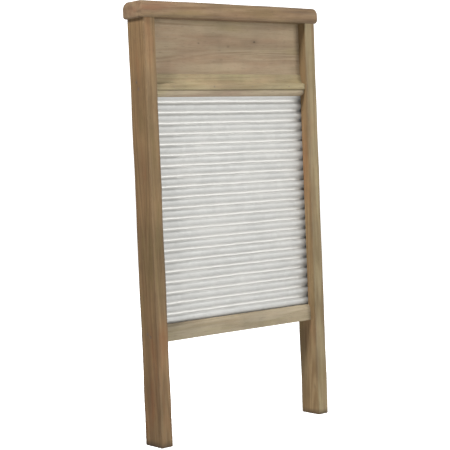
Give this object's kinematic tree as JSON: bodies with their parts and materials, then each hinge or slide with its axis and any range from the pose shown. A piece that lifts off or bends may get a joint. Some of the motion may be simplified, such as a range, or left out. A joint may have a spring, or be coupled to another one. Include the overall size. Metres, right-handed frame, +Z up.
{
  "type": "washboard",
  "caption": "Two-legged wooden washboard: a ribbed metal rubbing sheet held between grooved posts, below a soap ledge, a plain head panel and a rounded cap.",
  "frame": {"origin": "on the floor, midway between the two feet, at the middle of the posts' depth", "axes": "+Z up, +X to the viewer's right across the board, front (the rubbing side) towards -Y"},
  "size_m": [0.322, 0.044, 0.603],
  "materials": {
    "post_wood": "aged, matt, mid-brown with reddish streaks along the grain",
    "cap_wood": "aged, matt, worn lighter on the upper edges",
    "panel_wood": "aged, matt, straight horizontal grain with small pin knots",
    "rail_wood": "aged, matt, water-bleached",
    "back_wood": "aged, matt, unfinished",
    "zinced_sheet": "dull zinc coating, fine crimped relief",
    "nail_steel": "darkened, slightly rusted"
  },
  "bodies": {
    "root": {"left_post": "post_wood", "right_post": "post_wood", "top_cap": "cap_wood", "head_panel": "panel_wood", "soap_ledge": "panel_wood", "crossbar": "rail_wood", "bottom_rail": "rail_wood", "rubbing_sheet": "zinced_sheet", "back_board_1": "back_wood", "back_board_2": "back_wood", "back_board_3": "back_wood", "back_board_4": "back_wood", "back_board_5": "back_wood", "cap_nails_left": "nail_steel", "cap_nails_right": "nail_steel", "crossbar_nails_left": "nail_steel", "crossbar_nails_right": "nail_steel", "rail_nails_left": "nail_steel", "rail_nails_right": "nail_steel", "ledge_brads": "nail_steel"}
  },
  "joints": []
}
